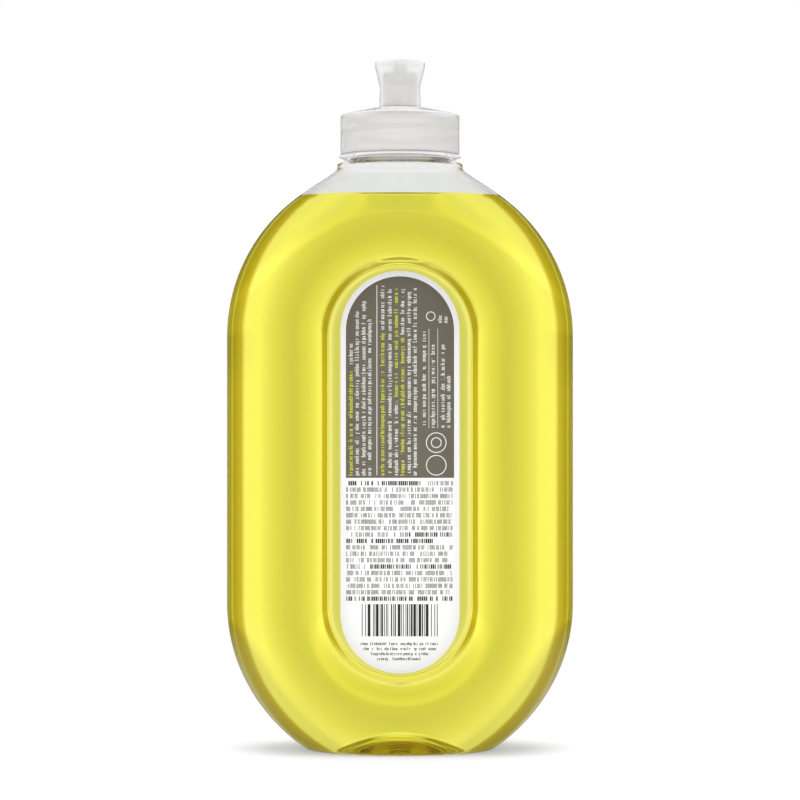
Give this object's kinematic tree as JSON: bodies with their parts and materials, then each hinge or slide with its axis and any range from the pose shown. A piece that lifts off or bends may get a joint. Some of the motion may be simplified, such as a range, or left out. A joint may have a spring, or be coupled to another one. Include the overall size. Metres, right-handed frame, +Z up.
{
  "type": "floor cleaner bottle",
  "caption": "Flat stadium-shaped clear bottle of yellow floor cleaner with a dished label panel and a push-pull screw cap.",
  "frame": {"origin": "middle of the standing ring, on the surface the bottle stands on", "axes": "+Z up along the neck, +X across the width, -Y towards the labelled face"},
  "size_m": [0.1208, 0.05, 0.2413],
  "materials": {
    "clear_plastic": "gloss",
    "cleaner": "gloss",
    "label_film": "satin",
    "label_ink": "satin",
    "cap_plastic": "satin",
    "washer_foam": "matte"
  },
  "bodies": {
    "bottle_body": {"bottle": "clear_plastic", "cleaner_liquid": "cleaner", "back_label": "label_film", "label_print_field": "label_ink"},
    "cap_seal": {"seal_washer": "washer_foam"},
    "cap": {"screw_cap": "cap_plastic"},
    "nozzle_body": {"nozzle": "cap_plastic"}
  },
  "joints": [
    {"name": "cap_lift", "type": "slide", "parent": "bottle_body", "child": "cap_seal", "axis": [0, 0, 1], "range_m": [0, 0.0127]},
    {"name": "cap_turn", "type": "hinge", "parent": "cap_seal", "child": "cap", "pos_m": [0, 0, 0.2145], "axis": [0, 0, 1], "range_deg": [0, 1080]},
    {"name": "nozzle_slide", "type": "slide", "parent": "cap", "child": "nozzle_body", "axis": [0, 0, 1], "range_m": [0, 0.006]}
  ],
  "couplings": [
    {"joint": "cap_lift", "follows": "cap_turn", "m_per_rad": 0.00067376}
  ]
}
